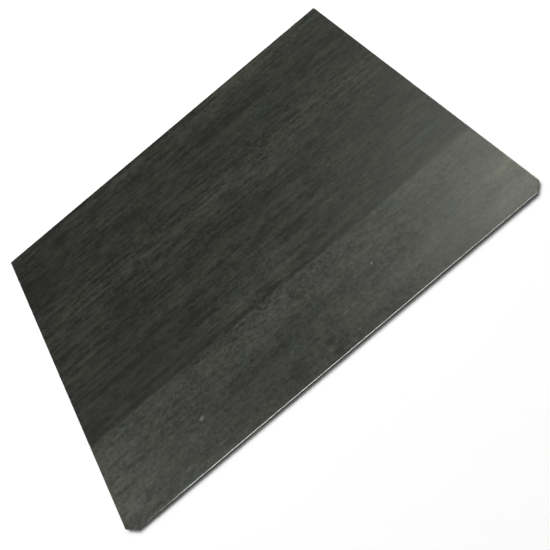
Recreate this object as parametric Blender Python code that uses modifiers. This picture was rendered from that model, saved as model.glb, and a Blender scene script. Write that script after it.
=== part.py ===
"""Self-healing cutting mat for leather work: a flat slab laminated from five PVC plies.

Frame: metres, +Z up. The origin is at the centre of the underside, +X runs along the mat's long side
and -Y points to the front edge, whose two corners are clipped off. The two back corners are left square.

From the bench upwards the plies are a soft healing ply, a hard ply that stops the blade, a firm core,
a second hard ply and a second soft healing ply. Both faces can be cut on. The plies are fused under
heat, with no glue between them, and the stack is then die-cut, which rolls the edge of the top face
over and leaves only a small break on the underside.
"""

import math

import bpy
from mathutils import Matrix, Vector

# Driving dimensions, in metres.
MAT_LENGTH = 0.305
MAT_DEPTH = 0.229
MAT_THICKNESS = 0.0030
HEALING_THICKNESS = 0.00080
BLADE_STOP_THICKNESS = 0.00030
FUSION_LINE = 0.00002
CLIP_ALONG_LENGTH = 0.0063
CLIP_ALONG_DEPTH = 0.0048
CORNER_RADIUS = 0.0008
TOP_ROLL_OVER = 0.00045
UNDERSIDE_BREAK = 0.00020

# The core takes what the other plies and the four fusion lines leave.
CORE_THICKNESS = MAT_THICKNESS - 2 * HEALING_THICKNESS - 2 * BLADE_STOP_THICKNESS - 4 * FUSION_LINE

# Straight steps that stand for each eased corner and rounded edge.
CORNER_STEPS = 5
ROLL_OVER_STEPS = 4

WELD_DISTANCE = 0.000001
SAME_PLANE = math.radians(0.5)
FLATNESS = 0.000001


def clear_scene():
    """Removes whatever the scene holds when the script starts."""
    for obj in list(bpy.data.objects):
        bpy.data.objects.remove(obj, do_unlink=True)


def pvc(name, colour, roughness):
    """An opaque PVC, as a Principled material with its linear base colour."""
    material = bpy.data.materials.new(name)
    material.use_nodes = True
    shader = material.node_tree.nodes["Principled BSDF"]
    shader.inputs["Base Color"].default_value = (*colour, 1.0)
    shader.inputs["Roughness"].default_value = roughness
    shader.inputs["Metallic"].default_value = 0.0
    material.diffuse_color = (*colour, 1.0)
    return material


def eased_corner(before, corner, after):
    """The points of a small arc that eases a corner of the outline, seen from the points on either side."""
    towards_before = (before - corner).normalized()
    towards_after = (after - corner).normalized()
    half_angle = towards_before.angle(towards_after) / 2
    centre = corner + (towards_before + towards_after).normalized() * (CORNER_RADIUS / math.sin(half_angle))
    setback = CORNER_RADIUS / math.tan(half_angle)
    arm = corner + towards_before * setback - centre
    turn = math.pi - 2 * half_angle
    arc = []
    for step in range(CORNER_STEPS + 1):
        arc.append(centre + Matrix.Rotation(turn * step / CORNER_STEPS, 2) @ arm)
    return arc


def mat_outline():
    """The die's outline, anticlockwise from the right end of the front edge, with every corner eased."""
    right, back = MAT_LENGTH / 2, MAT_DEPTH / 2
    corners = [
        Vector((right - CLIP_ALONG_LENGTH, -back)),
        Vector((right, CLIP_ALONG_DEPTH - back)),
        Vector((right, back)),
        Vector((-right, back)),
        Vector((-right, CLIP_ALONG_DEPTH - back)),
        Vector((CLIP_ALONG_LENGTH - right, -back)),
    ]
    outline = []
    for index, corner in enumerate(corners):
        outline += eased_corner(corners[index - 1], corner, corners[(index + 1) % len(corners)])
    return outline


def outline_slab(name, thickness):
    """A curve object in the mat's outline, centred on its own origin in height."""
    curve = bpy.data.curves.new(name, "CURVE")
    curve.dimensions = "2D"
    curve.fill_mode = "BOTH"
    curve.extrude = thickness / 2
    outline = mat_outline()
    spline = curve.splines.new("POLY")
    spline.points.add(len(outline) - 1)
    for point, (x, y) in zip(spline.points, outline):
        point.co = (x, y, 0.0, 1.0)
    spline.use_cyclic_u = True
    return bpy.data.objects.new(name, curve)


def to_mesh_object(curve_object, collection):
    """The curve's solid as a mesh object in its place, its caps welded to its wall and each one whole face."""
    name = curve_object.name
    curve_object.name = name + "_curve"
    collection.objects.link(curve_object)
    bpy.context.view_layer.update()
    evaluated = curve_object.evaluated_get(bpy.context.evaluated_depsgraph_get())
    mesh = bpy.data.meshes.new_from_object(evaluated)
    mesh.name = name
    mesh_object = bpy.data.objects.new(name, mesh)
    mesh_object.matrix_world = curve_object.matrix_world
    collection.objects.link(mesh_object)
    bpy.data.objects.remove(curve_object, do_unlink=True)
    weld = mesh_object.modifiers.new("weld_caps", "WELD")
    weld.merge_threshold = WELD_DISTANCE
    join = mesh_object.modifiers.new("join_flat_faces", "DECIMATE")
    join.decimate_type = "DISSOLVE"
    join.angle_limit = SAME_PLANE
    return mesh_object


def apply_modifiers(obj):
    """Puts the evaluated shape in the object's own mesh, so that its edges can be marked."""
    bpy.context.view_layer.update()
    evaluated = obj.evaluated_get(bpy.context.evaluated_depsgraph_get())
    shape = bpy.data.meshes.new_from_object(evaluated)
    obj.modifiers.clear()
    obj.data = shape


def round_rim(ply, side, width):
    """Rounds the rim of the ply's upper face (side 1) or lower face (side -1) and leaves the other sharp."""
    mesh = ply.data
    level = max(side * vertex.co.z for vertex in mesh.vertices)
    weights = mesh.attributes.new("bevel_weight_edge", "FLOAT", "EDGE")
    faces_at_edge = {}
    for polygon in mesh.polygons:
        for key in polygon.edge_keys:
            faces_at_edge.setdefault(key, []).append(polygon)
    for edge in mesh.edges:
        on_face = all(abs(side * mesh.vertices[v].co.z - level) < FLATNESS for v in edge.vertices)
        neighbours = faces_at_edge[tuple(sorted(edge.vertices))]
        meets_wall = any(abs(polygon.normal.z) < 0.5 for polygon in neighbours)
        weights.data[edge.index].value = 1.0 if on_face and meets_wall else 0.0
    bevel = ply.modifiers.new("rim", "BEVEL")
    bevel.limit_method = "WEIGHT"
    bevel.width = width
    bevel.segments = ROLL_OVER_STEPS
    bevel.use_clamp_overlap = False


def make_ply(name, bottom, thickness, material, collection):
    """One ply of the laminate, with its lower face at the height bottom."""
    slab = outline_slab(name, thickness)
    slab.location = (0.0, 0.0, bottom + thickness / 2)
    ply = to_mesh_object(slab, collection)
    apply_modifiers(ply)
    ply.data.materials.clear()
    ply.data.materials.append(material)
    ply.data.shade_flat()
    return ply


def build():
    clear_scene()
    collection = bpy.data.collections.new("self_healing_mat")
    bpy.context.scene.collection.children.link(collection)

    healing = pvc("healing_pvc", (0.040, 0.041, 0.037), 0.55)
    blade_stop = pvc("blade_stop_pvc", (0.022, 0.022, 0.022), 0.45)
    core = pvc("core_pvc", (0.032, 0.032, 0.031), 0.60)

    stack = [
        ("bottom_healing_ply", HEALING_THICKNESS, healing),
        ("lower_blade_stop_ply", BLADE_STOP_THICKNESS, blade_stop),
        ("core_ply", CORE_THICKNESS, core),
        ("upper_blade_stop_ply", BLADE_STOP_THICKNESS, blade_stop),
        ("top_healing_ply", HEALING_THICKNESS, healing),
    ]
    plies = {}
    height = 0.0
    for name, thickness, material in stack:
        plies[name] = make_ply(name, height, thickness, material, collection)
        height += thickness + FUSION_LINE

    round_rim(plies["top_healing_ply"], 1, TOP_ROLL_OVER)
    round_rim(plies["bottom_healing_ply"], -1, UNDERSIDE_BREAK)


build()
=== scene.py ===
"""Looks of the self-healing cutting mat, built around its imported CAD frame.

Metres, in the CAD's frame: +X along the mat's long side, -Y towards the front edge with the two clipped
corners, +Z up out of the cutting face. Each of the five CAD plies is replaced by a finer one in the same
place. The cutting face carries the calender's shallow streaks and a rubbed, rolled rim, the underside
carries the grain of the belt it was pressed on, and every ply carries its own share of the cut wall.
Nothing stands outside the CAD box, so all relief is cut inwards.
"""

import math

import bmesh
import bpy
from mathutils import Matrix, Vector, noise


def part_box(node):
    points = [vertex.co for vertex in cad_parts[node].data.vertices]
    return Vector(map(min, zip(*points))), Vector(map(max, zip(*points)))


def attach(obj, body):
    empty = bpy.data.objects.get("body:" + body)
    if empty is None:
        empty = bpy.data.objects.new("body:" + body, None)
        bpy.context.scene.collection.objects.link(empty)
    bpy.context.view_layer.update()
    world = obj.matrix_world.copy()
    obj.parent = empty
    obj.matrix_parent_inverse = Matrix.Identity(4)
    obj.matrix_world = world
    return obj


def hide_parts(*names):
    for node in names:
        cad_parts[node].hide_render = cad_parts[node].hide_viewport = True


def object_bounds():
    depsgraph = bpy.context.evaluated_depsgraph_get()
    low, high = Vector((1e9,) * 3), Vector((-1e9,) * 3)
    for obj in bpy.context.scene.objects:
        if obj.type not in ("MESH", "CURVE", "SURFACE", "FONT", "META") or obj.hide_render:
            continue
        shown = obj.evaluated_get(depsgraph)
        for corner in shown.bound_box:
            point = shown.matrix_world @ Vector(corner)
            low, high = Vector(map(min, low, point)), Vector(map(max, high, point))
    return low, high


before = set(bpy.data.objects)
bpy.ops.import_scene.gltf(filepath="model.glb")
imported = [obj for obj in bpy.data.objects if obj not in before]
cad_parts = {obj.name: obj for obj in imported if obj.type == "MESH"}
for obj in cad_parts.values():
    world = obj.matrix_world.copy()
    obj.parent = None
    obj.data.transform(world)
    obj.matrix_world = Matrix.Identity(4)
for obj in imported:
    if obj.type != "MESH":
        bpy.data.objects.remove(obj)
cad_low, cad_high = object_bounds()

MM = 0.001

# ---------------------------------------------------------------------------------------------------------
# The outline, as stations that every ply shares, so that the die's marks run through the whole stack
# ---------------------------------------------------------------------------------------------------------

ON_EDGE = 0.01 * MM
COLUMN_PITCH = 1.6 * MM
ROW_PITCH = 0.7 * MM
CLIP_PITCH = 0.8 * MM
BORDER = 7.5 * MM
TRUE_OFFSET = 0.8 * MM

INNER_X = cad_high.x - BORDER
INNER_Y = cad_high.y - BORDER
COLUMNS = round(2 * INNER_X / COLUMN_PITCH)
ROWS = round(2 * INNER_Y / ROW_PITCH)


def spread(low, high, steps):
    """Evenly spaced values from low to high, both included."""
    return [low + (high - low) * step / steps for step in range(steps + 1)]


def cad_outline(node):
    """A CAD node's outline, anticlockwise. It is convex, so its corners sort by their direction."""
    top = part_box(node)[1].z
    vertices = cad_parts[node].data.vertices
    corners = {tuple(vertex.co.xy) for vertex in vertices if abs(vertex.co.z - top) < ON_EDGE}
    anticlockwise = sorted(corners, key=lambda corner: math.atan2(corner[1], corner[0]))
    return [Vector(corner) for corner in anticlockwise]


def grid_lines(start, end, inner, steps):
    """The places from start to end, both left out, where the inner grid's lines would meet a side."""
    pitch = 2 * inner / steps
    corner_gap = pitch / 3
    low, high = min(start, end) + corner_gap, max(start, end) - corner_gap
    first, last = math.ceil((low + inner) / pitch), math.floor((high + inner) / pitch)
    places = [line * pitch - inner for line in range(first, last + 1)]
    return places if end > start else places[::-1]


def points_along(start, end):
    """The outline's points between two of its corners, both left out."""
    if abs(end.y - start.y) < ON_EDGE:
        return [Vector((x, start.y)) for x in grid_lines(start.x, end.x, INNER_X, COLUMNS)]
    if abs(end.x - start.x) < ON_EDGE:
        return [Vector((start.x, y)) for y in grid_lines(start.y, end.y, INNER_Y, ROWS)]
    steps = math.ceil((end - start).length / CLIP_PITCH)
    return [start.lerp(end, share) for share in spread(0, 1, steps)[1:-1]]


def outward(start, end):
    """The outward normal of an anticlockwise outline's side."""
    run = (end - start).normalized()
    return Vector((run.y, -run.x))


def outline_stations(corners):
    """Every station as (outline point, outward normal, nearest point of the inner rectangle)."""
    placed = []
    for index, corner in enumerate(corners):
        before, after = corners[index - 1], corners[(index + 1) % len(corners)]
        placed.append((corner, (outward(before, corner) + outward(corner, after)).normalized()))
        placed += [(point, outward(corner, after)) for point in points_along(corner, after)]
    stations = []
    for point, normal in placed:
        inner = Vector((min(max(point.x, -INNER_X), INNER_X), min(max(point.y, -INNER_Y), INNER_Y)))
        stations.append((point, normal, inner))
    return stations


STATIONS = outline_stations(cad_outline("core_ply"))


def inset_point(station, inset):
    """The point of a station at this distance in from the outline, converging on its inner point."""
    point, normal, inner = station
    if inset <= TRUE_OFFSET:
        return point - normal * inset
    share = (inset - TRUE_OFFSET) / (BORDER - TRUE_OFFSET)
    return (point - normal * TRUE_OFFSET).lerp(inner, share)


# ---------------------------------------------------------------------------------------------------------
# Relief
# ---------------------------------------------------------------------------------------------------------

STREAK_DEPTH = 0.022 * MM
GRAIN_DEPTH = 0.012 * MM
DIE_MARK_DEPTH = 0.030 * MM
RIPPLE_GAIN = 0.9


def ripple(x, y, z, size, seed):
    """Smooth noise from 0 to 1, in features of this size in mm along X, Y and Z."""
    length, width, height = (extent * MM for extent in size)
    value = noise.noise(Vector((x / length + seed, y / width - seed, z / height + seed)))
    return min(max(0.5 + RIPPLE_GAIN * value, 0.0), 1.0)


def calender_relief(x, y):
    """How deep the cutting face lies below its highest point: long shallow streaks that run along X."""
    long_streak = ripple(x, y, 0, (70.0, 3.4, 1.0), seed=3.7)
    short_streak = ripple(x, y, 0, (24.0, 1.9, 1.0), seed=11.3)
    return STREAK_DEPTH * (0.6 * long_streak + 0.4 * short_streak)


def backing_relief(x, y):
    """How deep the underside lies inside its lowest point: the grain of the belt it was pressed on."""
    return GRAIN_DEPTH * ripple(x, y, 0, (6.0, 4.0, 1.0), seed=21.1)


def die_marks(x, y, z):
    """How far the cut wall lies inside the die's outline: upright drag marks, a little uneven in height."""
    drag = ripple(x, y, z, (2.6, 2.6, 9.0), seed=5.9)
    wander = ripple(x, y, z, (38.0, 38.0, 6.0), seed=17.3)
    return DIE_MARK_DEPTH * (0.55 * drag + 0.45 * wander)


# ---------------------------------------------------------------------------------------------------------
# Plies
# ---------------------------------------------------------------------------------------------------------

TOP_ROLL_OVER = 0.45 * MM
UNDERSIDE_BREAK = 0.20 * MM
SEAM_BREAK = 0.04 * MM
SOFT_BULGE = 0.035 * MM
HARD_SET_BACK = 0.060 * MM
CORE_SET_BACK = 0.020 * MM
WALL_STEPS = 6
MERGE_DISTANCE = 0.0005 * MM
SHARP_ANGLE = math.radians(40)
FACE_INSETS = [BORDER, 5.4 * MM, 3.8 * MM, 2.6 * MM, 1.7 * MM, 1.1 * MM, 0.7 * MM]
HIDDEN_INSETS = [BORDER]

# How much of a section's point belongs to the cut: nothing on a face, all of it on the wall.
FACE, WALL = 0.0, 1.0
# The narrow flat that handling has rubbed on the rolled rim, in the roll's own steps.
ROLL_STEPS = 8
FLAT_START = 2
FLAT_END = 1 - FLAT_START / ROLL_STEPS
FLAT_SHARES = (0.12, 0.5, 0.88)
# The way into a ply from its upper half and from its lower half.
DOWN, UP = -1, 1


def rounded(radius, edge_z, side):
    """Section points (inset, z, cut) of a rounded edge, from the face at edge_z on to the wall."""
    points = []
    for angle in spread(0, 90, ROLL_STEPS):
        inset = radius * (1 - math.sin(math.radians(angle)))
        drop = radius * (1 - math.cos(math.radians(angle)))
        points.append((inset, edge_z - side * drop, angle / 90))
    return points


def burnished(radius, edge_z, side):
    """Section points of a rounded edge whose middle has been rubbed down to a narrow flat."""
    points = rounded(radius, edge_z, side)
    first, last = points[FLAT_START], points[-1 - FLAT_START]
    flat = []
    for share in FLAT_SHARES:
        flat.append(tuple(low + (high - low) * share for low, high in zip(first, last)))
    return points[:FLAT_START + 1] + flat + points[-1 - FLAT_START:]


def wall_section(low_z, high_z, bulge, set_back):
    """The straight part of a ply's cut wall, from top to bottom, bulging out between its two edges."""
    points = []
    for share in spread(0, 1, WALL_STEPS)[1:-1]:
        hollow = bulge * (1 - math.sin(math.pi * share))
        points.append((set_back + hollow, high_z + (low_z - high_z) * share, WALL))
    return points


def section(node, high_edge=SEAM_BREAK, low_edge=SEAM_BREAK, bulge=0.0, set_back=0.0,
            upper_insets=HIDDEN_INSETS, lower_insets=HIDDEN_INSETS, high_shape=rounded):
    """A ply's half section, from inside its upper face, round its edge, to inside its lower face."""
    low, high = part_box(node)
    points = [(inset, high.z, FACE) for inset in upper_insets]
    points += [(inset + set_back, z, cut) for inset, z, cut in high_shape(high_edge, high.z, 1)]
    points += wall_section(low.z + low_edge, high.z - high_edge, bulge, set_back)
    points += [(inset + set_back, z, cut) for inset, z, cut in reversed(rounded(low_edge, low.z, -1))]
    points += [(inset, low.z, FACE) for inset in reversed(lower_insets)]
    return points


def add_ring(bm, section_point, relief, inwards):
    """The ring of vertices that a section's point makes as it goes round every station."""
    inset, z, cut = section_point
    inset_of, cut_of = bm.verts.layers.float["inset"], bm.verts.layers.float["cut"]
    below_flat = max(cut - FLAT_END, 0.0) / (WALL - FLAT_END)
    ring = []
    for station in STATIONS:
        outline_point = station[0]
        depth = die_marks(outline_point.x, outline_point.y, z) * below_flat
        point = inset_point(station, inset + depth)
        lift = relief(point.x, point.y) * (1 - below_flat) if relief else 0.0
        vertex = bm.verts.new((point.x, point.y, z + inwards * lift))
        vertex[inset_of] = inset
        vertex[cut_of] = cut
        ring.append(vertex)
    return ring


def join_rings(bm, outer, inner):
    """A band of faces between two rings."""
    for here in range(len(STATIONS)):
        after = (here + 1) % len(STATIONS)
        bm.faces.new((outer[here], inner[here], inner[after], outer[after]))


def close_face(bm, ring, face_z, relief, inwards):
    """Closes a face inside its last ring: a fine grid, or one flat polygon where it is hidden."""
    if relief is None:
        bm.faces.new(ring)
        return
    xs, ys = spread(-INNER_X, INNER_X, COLUMNS), spread(-INNER_Y, INNER_Y, ROWS)
    lines = [[bm.verts.new((x, y, face_z + inwards * relief(x, y))) for x in xs] for y in ys]
    for near, far in zip(lines, lines[1:]):
        for column in range(COLUMNS):
            bm.faces.new((near[column], near[column + 1], far[column + 1], far[column]))
    inset_of = bm.verts.layers.float["inset"]
    for line in lines:
        for vertex in line:
            vertex[inset_of] = BORDER


def closed_ply(node, section_points, upper_relief, lower_relief):
    """A ply as a closed bmesh, whose vertices know how far in they are and how much they are cut."""
    low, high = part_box(node)
    middle = (low.z + high.z) / 2
    bm = bmesh.new()
    bm.verts.layers.float.new("inset")
    bm.verts.layers.float.new("cut")
    rings = []
    for section_point in section_points:
        upper = section_point[1] > middle
        relief, inwards = (upper_relief, DOWN) if upper else (lower_relief, UP)
        rings.append(add_ring(bm, section_point, relief, inwards))
    for outer, inner in zip(rings, rings[1:]):
        join_rings(bm, outer, inner)
    close_face(bm, rings[0], high.z, upper_relief, DOWN)
    close_face(bm, rings[-1], low.z, lower_relief, UP)
    bmesh.ops.remove_doubles(bm, verts=bm.verts, dist=MERGE_DISTANCE)
    bmesh.ops.recalc_face_normals(bm, faces=bm.faces)
    return bm


def make_ply(node, section_points, material, upper_relief=None, lower_relief=None):
    """A finer ply that replaces its CAD node. A face with no relief is hidden, inside the stack."""
    bm = closed_ply(node, section_points, upper_relief, lower_relief)
    mesh = bpy.data.meshes.new(node + "_finish")
    bm.to_mesh(mesh)
    bm.free()
    mesh.shade_smooth()
    mesh.set_sharp_from_angle(angle=SHARP_ANGLE)
    mesh.materials.append(material)
    ply = bpy.data.objects.new(node + "_finish", mesh)
    bpy.context.scene.collection.objects.link(ply)
    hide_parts(node)
    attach(ply, "root")


# ---------------------------------------------------------------------------------------------------------
# Materials: the nodes they are built from
# ---------------------------------------------------------------------------------------------------------

FACE_SPECULAR = 0.45
SHEEN_TINT = (0.97, 1.0, 0.89, 1.0)


class Surface:
    """A Principled material, with short calls for the nodes that its finish is built from."""

    def __init__(self, name, specular):
        self.material = bpy.data.materials.new(name)
        self.material.use_nodes = True
        self.tree = self.material.node_tree
        self.shader = self.tree.nodes["Principled BSDF"]
        self.shader.inputs["Specular IOR Level"].default_value = specular
        self.shader.inputs["Specular Tint"].default_value = SHEEN_TINT
        self.place = self.node("ShaderNodeTexCoord").outputs["Object"]

    def node(self, kind, **settings):
        node = self.tree.nodes.new(kind)
        for name, value in settings.items():
            setattr(node, name, value)
        return node

    def feed(self, socket, value):
        """Links a socket to another, or sets it to a plain number, vector or colour."""
        if isinstance(value, bpy.types.NodeSocket):
            self.tree.links.new(value, socket)
        else:
            socket.default_value = value

    def maths(self, operation, first, second=0.0, third=0.0):
        node = self.node("ShaderNodeMath", operation=operation)
        for socket, value in zip(node.inputs, (first, second, third)):
            self.feed(socket, value)
        return node.outputs[0]

    def vector_maths(self, operation, first, second=(0.0, 0.0, 0.0)):
        node = self.node("ShaderNodeVectorMath", operation=operation)
        for socket, value in zip(node.inputs, (first, second)):
            self.feed(socket, value)
        return node.outputs["Value" if operation == "LENGTH" else "Vector"]

    def product(self, first, *others):
        """All the values multiplied together."""
        for other in others:
            first = self.maths("MULTIPLY", first, other)
        return first

    def total(self, start, shares):
        """The start value plus each (amount, value) share."""
        for amount, value in shares:
            start = self.maths("MULTIPLY_ADD", value, amount, start)
        return start

    def lifted(self, value, lift, mask):
        """The value raised by this share of itself where the mask is 1."""
        return self.product(value, self.total(1.0, [(lift, mask)]))

    def ramp(self, value, start, end, low=0.0, high=1.0):
        """Eases from low to high as the value goes from start to end."""
        node = self.node("ShaderNodeMapRange", interpolation_type="SMOOTHSTEP")
        for socket, given in zip(node.inputs, (value, start, end, low, high)):
            self.feed(socket, given)
        return node.outputs[0]

    def ease(self, amount, first, second):
        """Eases from the first number to the second as the amount goes from 0 to 1."""
        return self.ramp(amount, 0.0, 1.0, first, second)

    def between(self, amount, first, second):
        """A number in proportion between two numbers."""
        node = self.node("ShaderNodeMix", data_type="FLOAT")
        for name, value in (("Factor", amount), ("A", first), ("B", second)):
            self.feed(node.inputs[name], value)
        return node.outputs["Result"]

    def blend(self, amount, first, second):
        """A colour between two colours."""
        node = self.node("ShaderNodeMix", data_type="RGBA")
        self.feed(node.inputs["Factor"], amount)
        for name, colour in (("A", first), ("B", second)):
            linked = isinstance(colour, bpy.types.NodeSocket)
            self.feed(node.inputs[name], colour if linked else (*colour, 1.0))
        return node.outputs["Result"]

    def noise(self, size, seed, detail=2.0, roughness=0.5):
        """Noise about zero, roughly from -0.5 to 0.5, in features of this size in mm along X, Y and Z."""
        mapping = self.node("ShaderNodeMapping")
        self.feed(mapping.inputs["Vector"], self.place)
        mapping.inputs["Location"].default_value = (seed, 2 * seed, 3 * seed)
        mapping.inputs["Scale"].default_value = [1 / (length * MM) for length in size]
        texture = self.node("ShaderNodeTexNoise")
        self.feed(texture.inputs["Vector"], mapping.outputs["Vector"])
        texture.inputs["Scale"].default_value = 1.0
        texture.inputs["Detail"].default_value = detail
        texture.inputs["Roughness"].default_value = roughness
        return self.maths("SUBTRACT", texture.outputs["Fac"], 0.5)

    def attribute(self, name):
        return self.node("ShaderNodeAttribute", attribute_name=name).outputs["Fac"]

    def axes(self):
        """The place's coordinates along the mat and across it."""
        split = self.node("ShaderNodeSeparateXYZ")
        self.feed(split.inputs[0], self.place)
        return split.outputs["X"], split.outputs["Y"]

    def finish(self, colour, pale, roughness, height, depth):
        """Feeds the shader, with the colour made pale times as light and the height as relief this deep."""
        scaled = self.node("ShaderNodeVectorMath", operation="SCALE")
        self.feed(scaled.inputs["Vector"], colour)
        self.feed(scaled.inputs["Scale"], pale)
        self.feed(self.shader.inputs["Base Color"], scaled.outputs["Vector"])
        self.feed(self.shader.inputs["Roughness"], roughness)
        bump = self.node("ShaderNodeBump")
        bump.inputs["Strength"].default_value = 1.0
        bump.inputs["Distance"].default_value = depth
        self.feed(bump.inputs["Height"], height)
        self.feed(self.shader.inputs["Normal"], bump.outputs["Normal"])
        return self.material


# ---------------------------------------------------------------------------------------------------------
# Materials: the soft PVC, on the cutting face, on the underside and where it is cut
# ---------------------------------------------------------------------------------------------------------

OLIVE = (0.0088, 0.0095, 0.0063)
VIOLET_GREY = (0.0092, 0.0085, 0.0086)
TEAL_GREY = (0.0073, 0.0093, 0.0087)
CUT_HEALING = (0.0500, 0.0500, 0.0475)
SCUFFED = (0.0420, 0.0420, 0.0400)

# How much of each tint there is where the colour doesn't vary, how much of the full variation the front
# strip and the underside have, and where along the mat the violet fades in.
EVEN_VIOLET = 0.6
EVEN_TEAL = 0.2
FRONT_VARIATION = 0.6
BACKING_VARIATION = 0.6
VIOLET_FADE = (100 * MM, 20 * MM)

FACE_ROUGHNESS = 0.46
CUT_ROUGHNESS = 0.50
BACKING_ROUGHNESS = 0.58
GRAIN_RELIEF = 0.010 * MM
BACKING_GRAIN_RELIEF = 0.020 * MM

# The rubbed flat: the shares of cut where it starts and ends, the share of the grain's relief that is left
# on it, and its roughness, which grows from one place along the mat to another.
FLAT_FADE_IN, FLAT_FADE_OUT = (0.10, 0.25), (0.90, 0.75)
FLAT_GRAIN = 0.15
BURNISHED_ROUGHNESS, DULLED_ROUGHNESS = 0.17, 0.26
DULLING = (10 * MM, 130 * MM)

# Wear on the rim: where it fades in, coming from inside the face, and where it fades in, coming from the
# wall as a share of cut.
RIM_WEAR, WALL_WEAR = (0.75 * MM, 0.15 * MM), (0.75, 0.35)
BACKING_RIM_WEAR, BACKING_WALL_WEAR = (0.45 * MM, 0.10 * MM), (0.9, 0.5)

# The soft border between the streaky face and the paler, calmer strip along its front.
FINISH_STEP = cad_low.y + 59.5 * MM
FINISH_STEP_WIDTH = 3.0 * MM
FINISH_STEP_WANDER = 3.0 * MM
SHADOW_LINE = 9.0 * MM
SHADOW_LINE_CORE = 2.0 * MM
BAND_LIFT = 2.38
BAND_STREAKS = 0.35
STREAK_FADE = (-150 * MM, 60 * MM)
DARKEST = 0.15

# Noise of the cutting face: feature size in mm along X, Y and Z, then seed, detail and roughness.
FACE_NOISE = {
    "broad_streaks": ((150.0, 17.0, 50.0), 27.0, 1.0, 0.5),
    "long_streaks": ((110.0, 2.7, 50.0), 11.0, 1.0, 0.5),
    "short_streaks": ((17.0, 2.9, 50.0), 13.0, 1.0, 0.5),
    "mottle": ((34.0, 13.0, 50.0), 17.0, 3.0, 0.5),
    "clouds": ((8.0, 4.6, 50.0), 23.0, 3.0, 0.5),
    "speckle": ((2.4, 1.7, 2.0), 19.0, 2.0, 0.75),
    "pores": ((0.45, 0.40, 0.40), 37.0, 3.0, 0.5),
}
# Broad soft areas of the face made paler or darker: place and half size in mm, and how much paler than the
# rest they are, so that 1.0 is twice as pale and -1.0 is black. The two at the front corners are painted
# sheen, the one at the back left corner is painted shade, and the others make broad areas paler or darker.
BROAD_TONES_AND_PAINTED_LIGHT = [
    (90.0, 36.0, 380.0, 24.0, 0.62),
    (50.0, 110.0, 190.0, 24.0, 0.78),
    (-12.0, -40.0, 56.0, 38.0, 0.50),
    (-92.0, -34.0, 66.0, 60.0, -0.32),
    (-35.0, -95.0, 126.0, 38.0, -0.42),
    # painted sheen at the front right corner
    (156.0, -100.0, 66.0, 54.0, 1.1),
    # painted sheen at the front left corner
    (-150.0, -100.0, 46.0, 66.0, 0.50),
    # painted shade at the back left corner
    (-150.0, 82.0, 64.0, 36.0, -0.45),
]
# Marks that use has left on the face, in the same terms.
MARKS = [
    (-83.0, -88.0, 1.6, 1.5, 2.2),
    (51.0, -82.0, 0.8, 0.8, 1.8),
    (21.0, -95.5, 1.1, 0.6, 1.1),
    (21.0, -108.5, 0.9, 0.8, 1.2),
    (1.8, -106.6, 2.0, 1.7, 0.8),
    (-101.0, -107.0, 5.0, 1.2, 0.5),
    (-79.0, -107.5, 3.0, 1.1, 0.5),
    (-25.0, 88.3, 1.6, 1.3, -0.9),
    (-21.0, -105.0, 6.0, 6.5, -0.48),
    (4.5, -110.2, 3.8, 1.5, -0.80),
    (4.0, -102.6, 3.8, 2.2, -0.65),
]
# The two fine scratches that run side by side along the middle of the face.
SCRATCH_START, SCRATCH_END = -41.0 * MM, 83.0 * MM
SCRATCH_FADE = 18.0 * MM
SCRATCH_LINES = [-24.0 * MM, -25.3 * MM]
SCRATCH_EDGE, SCRATCH_CORE = 0.45 * MM, 0.10 * MM
SCRATCH_LIFT = 0.55


def distance_from(surface, x, y, half_length, half_width):
    """The distance from a place on the face, as a share of the half sizes given with it. All are in mm."""
    offset = surface.vector_maths("SUBTRACT", surface.place, (x * MM, y * MM, cad_high.z))
    shares = (1 / (half_length * MM), 1 / (half_width * MM), 0.0)
    return surface.vector_maths("LENGTH", surface.vector_maths("MULTIPLY", offset, shares))


def shade_mask(surface, x, y, half_length, half_width):
    """1 at the middle of a broad soft area, easing to 0 around it."""
    return surface.ramp(distance_from(surface, x, y, half_length, half_width), 1.0, 0.0)


def mark_mask(surface, x, y, half_length, half_width):
    """1 inside a small ragged mark and 0 outside it."""
    raggedness = surface.noise((1.1, 1.1, 1.1), seed=40.0)
    ragged = surface.total(distance_from(surface, x, y, half_length, half_width), [(1.2, raggedness)])
    return surface.ramp(ragged, 1.25, 0.65)


def scratch_mask(surface, along, across):
    """1 on the two fine scratches, which fade in and out at their ends."""
    reach = surface.product(surface.ramp(along, SCRATCH_START, SCRATCH_START + SCRATCH_FADE),
                            surface.ramp(along, SCRATCH_END, SCRATCH_END - SCRATCH_FADE))
    lines = 0.0
    for line in SCRATCH_LINES:
        away = surface.maths("ABSOLUTE", surface.maths("SUBTRACT", across, line))
        lines = surface.maths("ADD", lines, surface.ramp(away, SCRATCH_EDGE, SCRATCH_CORE))
    return surface.product(reach, lines)


def front_band(surface, across):
    """The paler front strip, 1 on it and 0 behind it, and the faint shadow line just behind its border."""
    wander = surface.noise((60.0, 60.0, 60.0), seed=2.0)
    line = surface.total(across, [(FINISH_STEP_WANDER, wander)])
    half = FINISH_STEP_WIDTH / 2
    band = surface.ramp(line, FINISH_STEP + half, FINISH_STEP - half)
    shadow_line = surface.product(
        surface.ramp(line, FINISH_STEP + SHADOW_LINE, FINISH_STEP + SHADOW_LINE_CORE),
        surface.maths("SUBTRACT", 1.0, band))
    return band, shadow_line


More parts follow.
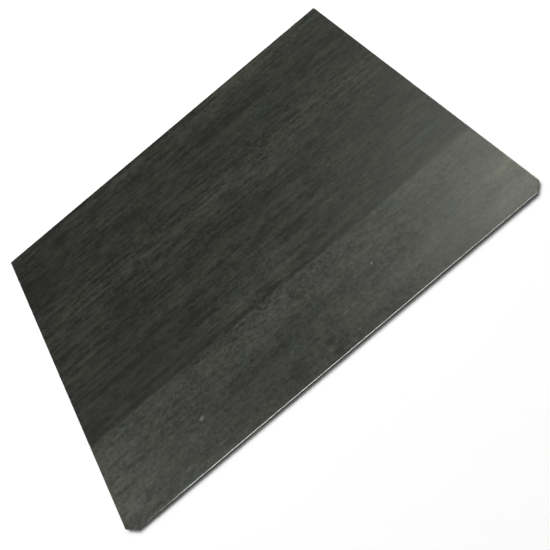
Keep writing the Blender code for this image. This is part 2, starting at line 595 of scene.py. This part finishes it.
def face_texture(surface, texture, along, band, shadow_line):
    """How pale the face's own texture makes it, about 1. Its long streaks are calmer on the front strip."""
    calm = surface.ease(band, 1.0, BAND_STREAKS)
    towards_right = surface.ramp(along, *STREAK_FADE, 1.25, 0.8)
    streaks = surface.product(
        surface.product(calm, towards_right),
        surface.total(0.0, [(2.2, texture["long_streaks"]), (2.6, texture["short_streaks"])]))
    fine = surface.product(
        surface.ease(band, 1.3, 1.2),
        surface.total(0.0, [(2.9, texture["speckle"]), (1.8, texture["pores"])]))
    soft = surface.product(
        surface.ease(band, 2.2, 1.3),
        surface.total(0.0, [(1.0, texture["mottle"]), (0.9, texture["clouds"])]))
    return surface.total(1.0, [
        (1.0, streaks),
        (1.0, fine),
        (1.0, soft),
        (1.1, texture["broad_streaks"]),
        (-0.10, shadow_line),
    ])


def face_paleness(surface, texture, along, across, band, shadow_line):
    """How pale the face is: its texture, its broad light and dark areas, among them painted sheen and
    shade, its front strip and its marks.
    """
    pale = face_texture(surface, texture, along, band, shadow_line)
    # Broad areas, among them painted sheen at the front corners and painted shade at the back left corner.
    for x, y, half_length, half_width, lift in BROAD_TONES_AND_PAINTED_LIGHT:
        pale = surface.lifted(pale, lift, shade_mask(surface, x, y, half_length, half_width))
    pale = surface.product(surface.maths("MAXIMUM", pale, DARKEST), surface.ease(band, 1.0, BAND_LIFT))
    for x, y, half_length, half_width, lift in MARKS:
        pale = surface.lifted(pale, lift, mark_mask(surface, x, y, half_length, half_width))
    return surface.lifted(pale, SCRATCH_LIFT, scratch_mask(surface, along, across))


def tinted(surface, along, variation):
    """The PVC's skin: olive, drifting towards violet grey in patches and now and then towards teal."""
    violet_patches = surface.noise((34.0, 22.0, 40.0), seed=3.0, detail=5.0)
    teal_patches = surface.noise((30.0, 24.0, 40.0), seed=7.0, detail=4.0)
    violet = surface.product(surface.ramp(violet_patches, -0.06, 0.12), surface.ramp(along, *VIOLET_FADE))
    teal = surface.ramp(teal_patches, 0.06, 0.24)
    colour = surface.blend(surface.between(variation, EVEN_VIOLET, violet), OLIVE, VIOLET_GREY)
    return surface.blend(surface.between(variation, EVEN_TEAL, teal), colour, TEAL_GREY)


def worn_rim(surface, inset, cut, scuffing, rim_wear, wall_wear):
    """1 where handling has rubbed the rim pale, as strongly as the scuffing says."""
    return surface.product(surface.ramp(inset, *rim_wear), scuffing, surface.ramp(cut, *wall_wear))


def skin_and_cut(surface, skin, cut, worn):
    """The soft PVC's colour: its skin, its bare inside where it is cut, and pale grey where it is worn."""
    return surface.blend(worn, surface.blend(cut, skin, CUT_HEALING), SCUFFED)


def cut_wall(surface):
    """The upright drag marks of the die as (paleness, height), both about zero."""
    drag = surface.noise((0.5, 0.5, 7.0), seed=31.0, detail=3.0)
    wander = surface.noise((9.0, 9.0, 3.0), seed=33.0)
    return surface.total(0.0, [(0.5, drag), (0.5, wander)]), drag


def healing_finish():
    """The cutting face: streaked by the calender, with painted sheen and shade in broad areas, a paler
    front strip and a scuffed, rubbed rim.
    """
    surface = Surface("healing_pvc_finish", FACE_SPECULAR)
    along, across = surface.axes()
    inset, cut = surface.attribute("inset"), surface.attribute("cut")
    texture = {name: surface.noise(*settings) for name, settings in FACE_NOISE.items()}
    band, shadow_line = front_band(surface, across)
    wall_tone, drag = cut_wall(surface)

    pale = face_paleness(surface, texture, along, across, band, shadow_line)
    pale = surface.between(cut, pale, surface.total(1.0, [(1.0, wall_tone)]))

    scuffing = surface.ramp(surface.noise((9.0, 9.0, 2.0), seed=29.0, detail=4.0), -0.20, 0.25, 0.35, 1.0)
    worn = worn_rim(surface, inset, cut, scuffing, RIM_WEAR, WALL_WEAR)
    skin = tinted(surface, along, surface.ease(band, 1.0, FRONT_VARIATION))
    colour = skin_and_cut(surface, skin, cut, worn)

    flat = surface.product(surface.ramp(cut, *FLAT_FADE_IN), surface.ramp(cut, *FLAT_FADE_OUT))
    burnish = surface.ramp(along, *DULLING, BURNISHED_ROUGHNESS, DULLED_ROUGHNESS)
    roughness = surface.total(FACE_ROUGHNESS, [
        (0.07, texture["clouds"]),
        (0.06, texture["long_streaks"]),
        (0.12, texture["speckle"]),
    ])
    roughness = surface.between(flat, surface.between(cut, roughness, CUT_ROUGHNESS), burnish)

    face_height = surface.total(0.0, [(1.0, texture["pores"]), (0.8, texture["short_streaks"])])
    wall_height = surface.total(0.0, [(1.6, drag), (0.5, texture["pores"])])
    height = surface.between(cut, face_height, wall_height)
    height = surface.product(height, surface.ease(flat, 1.0, FLAT_GRAIN))
    return surface.finish(colour, pale, roughness, height, GRAIN_RELIEF)


def backing_finish():
    """The underside: the same PVC with the even, matt grain of the belt it was pressed on."""
    surface = Surface("healing_pvc_backing", FACE_SPECULAR)
    along = surface.axes()[0]
    inset, cut = surface.attribute("inset"), surface.attribute("cut")
    mottle = surface.noise((30.0, 22.0, 50.0), seed=51.0, detail=3.0)
    speckle = surface.noise((0.9, 0.9, 0.9), seed=53.0, detail=2.0, roughness=0.7)
    belt = surface.noise((1.6, 1.1, 1.1), seed=57.0, detail=3.0)
    wall_tone, drag = cut_wall(surface)

    pale = surface.total(1.0, [(0.9, mottle), (1.6, speckle), (1.2, belt)])
    pale = surface.between(cut, pale, surface.total(1.0, [(1.0, wall_tone)]))

    scuffing = surface.ramp(surface.noise((11.0, 11.0, 2.0), seed=59.0, detail=4.0), 0.0, 0.3)
    worn = worn_rim(surface, inset, cut, scuffing, BACKING_RIM_WEAR, BACKING_WALL_WEAR)
    colour = skin_and_cut(surface, tinted(surface, along, BACKING_VARIATION), cut, worn)

    roughness = surface.total(BACKING_ROUGHNESS, [(0.25, mottle), (0.15, speckle)])
    roughness = surface.between(cut, roughness, CUT_ROUGHNESS)
    height = surface.between(cut, surface.total(0.0, [(1.4, belt), (0.5, speckle)]), drag)
    return surface.finish(colour, pale, roughness, height, BACKING_GRAIN_RELIEF)


# ---------------------------------------------------------------------------------------------------------
# Materials: the plies of which only the cut edge shows
# ---------------------------------------------------------------------------------------------------------

CUT_HARD = (0.0320, 0.0320, 0.0320)
CUT_CORE = (0.0580, 0.0580, 0.0555)
CUT_RELIEF = 0.020 * MM
CUT_HEIGHT_GAIN = 1.5


def cut_finish(name, colour, roughness, drag_share, crumb_share):
    """A ply of which only the cut edge shows: drag marks where it is hard, crumbs where it is soft."""
    surface = Surface(name, FACE_SPECULAR)
    tone, drag = cut_wall(surface)
    crumbs = surface.noise((0.35, 0.35, 0.35), seed=61.0, detail=3.0)
    pale = surface.total(1.0, [(drag_share, tone), (crumb_share, crumbs)])
    uneven = surface.total(roughness, [(0.25, drag), (0.20, crumbs)])
    height = surface.total(0.0, [
        (CUT_HEIGHT_GAIN * drag_share, drag),
        (CUT_HEIGHT_GAIN * crumb_share, crumbs),
    ])
    return surface.finish(colour, pale, uneven, height, CUT_RELIEF)


# ---------------------------------------------------------------------------------------------------------
# Stage, lights and camera
# ---------------------------------------------------------------------------------------------------------

CAMERA_LENS = 36.0
CAMERA_SHIFT = (-0.0456, -0.0475)
CAMERA_AIM = (24.4 * MM, -43.1 * MM)
CAMERA_DISTANCE = 343.3 * MM
CAMERA_AZIMUTH = -0.32
CAMERA_ELEVATION = 59.39
CAMERA_ROLL = -39.85
CAMERA_NEAR, CAMERA_FAR = 0.01, 50.0

FLOOR_RADIUS = 1.4
FLOOR_SEGMENTS = 96
FLOOR_GAP = 0.01 * MM
FLOOR_COLOUR = (0.86, 0.86, 0.86)
FLOOR_ROUGHNESS = 0.9
FLOOR_RELIEF = 0.01 * MM

ROOM_STRENGTH = 0.24
WHITE = (1.0, 1.0, 1.0)
COOL = (0.93, 0.93, 1.0)


def make_camera():
    """Straight in front of the mat, looking down on it, and turned about its own axis."""
    data = bpy.data.cameras.new("camera")
    data.lens = CAMERA_LENS
    data.shift_x, data.shift_y = CAMERA_SHIFT
    data.clip_start, data.clip_end = CAMERA_NEAR, CAMERA_FAR
    camera = bpy.data.objects.new("camera", data)
    bpy.context.scene.collection.objects.link(camera)
    azimuth, elevation = math.radians(CAMERA_AZIMUTH), math.radians(CAMERA_ELEVATION)
    back = Vector((math.sin(azimuth) * math.cos(elevation),
                   -math.cos(azimuth) * math.cos(elevation),
                   math.sin(elevation)))
    aim = Vector((*CAMERA_AIM, cad_high.z))
    upright = (-back).to_track_quat("-Z", "Y").to_matrix()
    turned = upright @ Matrix.Rotation(math.radians(CAMERA_ROLL), 3, "Z")
    camera.matrix_world = Matrix.Translation(aim + back * CAMERA_DISTANCE) @ turned.to_4x4()
    bpy.context.scene.camera = camera


def make_floor():
    """A plain white table top, dead matt, just under the mat."""
    bm = bmesh.new()
    bmesh.ops.create_circle(bm, cap_ends=True, segments=FLOOR_SEGMENTS, radius=FLOOR_RADIUS)
    mesh = bpy.data.meshes.new("floor")
    bm.to_mesh(mesh)
    bm.free()
    surface = Surface("floor_white", 0.0)
    unevenness = surface.noise((60.0, 60.0, 60.0), seed=71.0)
    pale = surface.total(1.0, [(0.02, unevenness)])
    mesh.materials.append(surface.finish(FLOOR_COLOUR, pale, FLOOR_ROUGHNESS, unevenness, FLOOR_RELIEF))
    floor = bpy.data.objects.new("floor", mesh)
    floor.location.z = cad_low.z - FLOOR_GAP
    bpy.context.scene.collection.objects.link(floor)


def soft_light(name, azimuth, elevation, distance, size, power, colour=WHITE, diffuse=True, glossy=True):
    """A soft box aimed at the middle of the mat. Azimuth 0 is behind the mat and 90 to its right."""
    turn, tilt = math.radians(azimuth), math.radians(elevation)
    towards = Vector((math.sin(turn) * math.cos(tilt), math.cos(turn) * math.cos(tilt), math.sin(tilt)))
    data = bpy.data.lights.new(name, "AREA")
    data.shape = "RECTANGLE"
    data.size, data.size_y = size
    data.energy = power
    data.color = colour
    light = bpy.data.objects.new(name, data)
    light.location = towards * distance
    light.rotation_euler = (-towards).to_track_quat("-Z", "Y").to_euler()
    light.visible_diffuse = diffuse
    light.visible_glossy = glossy
    bpy.context.scene.collection.objects.link(light)


def make_world():
    """A dim even room, which the camera sees as white."""
    world = bpy.data.worlds.new("studio")
    world.use_nodes = True
    tree = world.node_tree
    room = tree.nodes["Background"]
    room.inputs["Color"].default_value = (*WHITE, 1.0)
    room.inputs["Strength"].default_value = ROOM_STRENGTH
    backdrop = tree.nodes.new("ShaderNodeBackground")
    backdrop.inputs["Color"].default_value = (*WHITE, 1.0)
    mixed = tree.nodes.new("ShaderNodeMixShader")
    path = tree.nodes.new("ShaderNodeLightPath")
    tree.links.new(path.outputs["Is Camera Ray"], mixed.inputs["Fac"])
    tree.links.new(room.outputs["Background"], mixed.inputs[1])
    tree.links.new(backdrop.outputs["Background"], mixed.inputs[2])
    tree.links.new(mixed.outputs["Shader"], tree.nodes["World Output"].inputs["Surface"])
    bpy.context.scene.world = world


# ---------------------------------------------------------------------------------------------------------
# Build
# ---------------------------------------------------------------------------------------------------------

healing = healing_finish()
backing = backing_finish()
blade_stop = cut_finish("blade_stop_pvc_finish", CUT_HARD,
                        roughness=0.34, drag_share=0.7, crumb_share=0.15)
core = cut_finish("core_pvc_finish", CUT_CORE,
                  roughness=0.58, drag_share=0.3, crumb_share=0.7)

make_ply("top_healing_ply",
         section("top_healing_ply", high_edge=TOP_ROLL_OVER, high_shape=burnished, bulge=SOFT_BULGE,
                 upper_insets=FACE_INSETS),
         healing, upper_relief=calender_relief)
make_ply("upper_blade_stop_ply",
         section("upper_blade_stop_ply", set_back=HARD_SET_BACK),
         blade_stop)
make_ply("core_ply",
         section("core_ply", bulge=SOFT_BULGE, set_back=CORE_SET_BACK),
         core)
make_ply("lower_blade_stop_ply",
         section("lower_blade_stop_ply", set_back=HARD_SET_BACK),
         blade_stop)
make_ply("bottom_healing_ply",
         section("bottom_healing_ply", low_edge=UNDERSIDE_BREAK, bulge=SOFT_BULGE,
                 lower_insets=FACE_INSETS),
         backing, lower_relief=backing_relief)

make_floor()
make_camera()
make_world()
# The key lights the mat, the two glows are its sheen, and the strip is the bright line on its front edge.
soft_light("key", azimuth=0, elevation=61, distance=2.6, size=(1.6, 1.6), power=86.0,
           glossy=False)
soft_light("glow_right", azimuth=65, elevation=60, distance=2.4, size=(0.7, 0.7), power=31.0,
           diffuse=False)
soft_light("glow_left", azimuth=-85, elevation=60, distance=2.4, size=(0.7, 0.7), power=12.0,
           diffuse=False)
soft_light("arris_strip", azimuth=180, elevation=20, distance=2.4, size=(2.3, 0.3), power=89.0,
           colour=COOL, diffuse=False)
bpy.context.scene.view_settings.view_transform = "Standard"
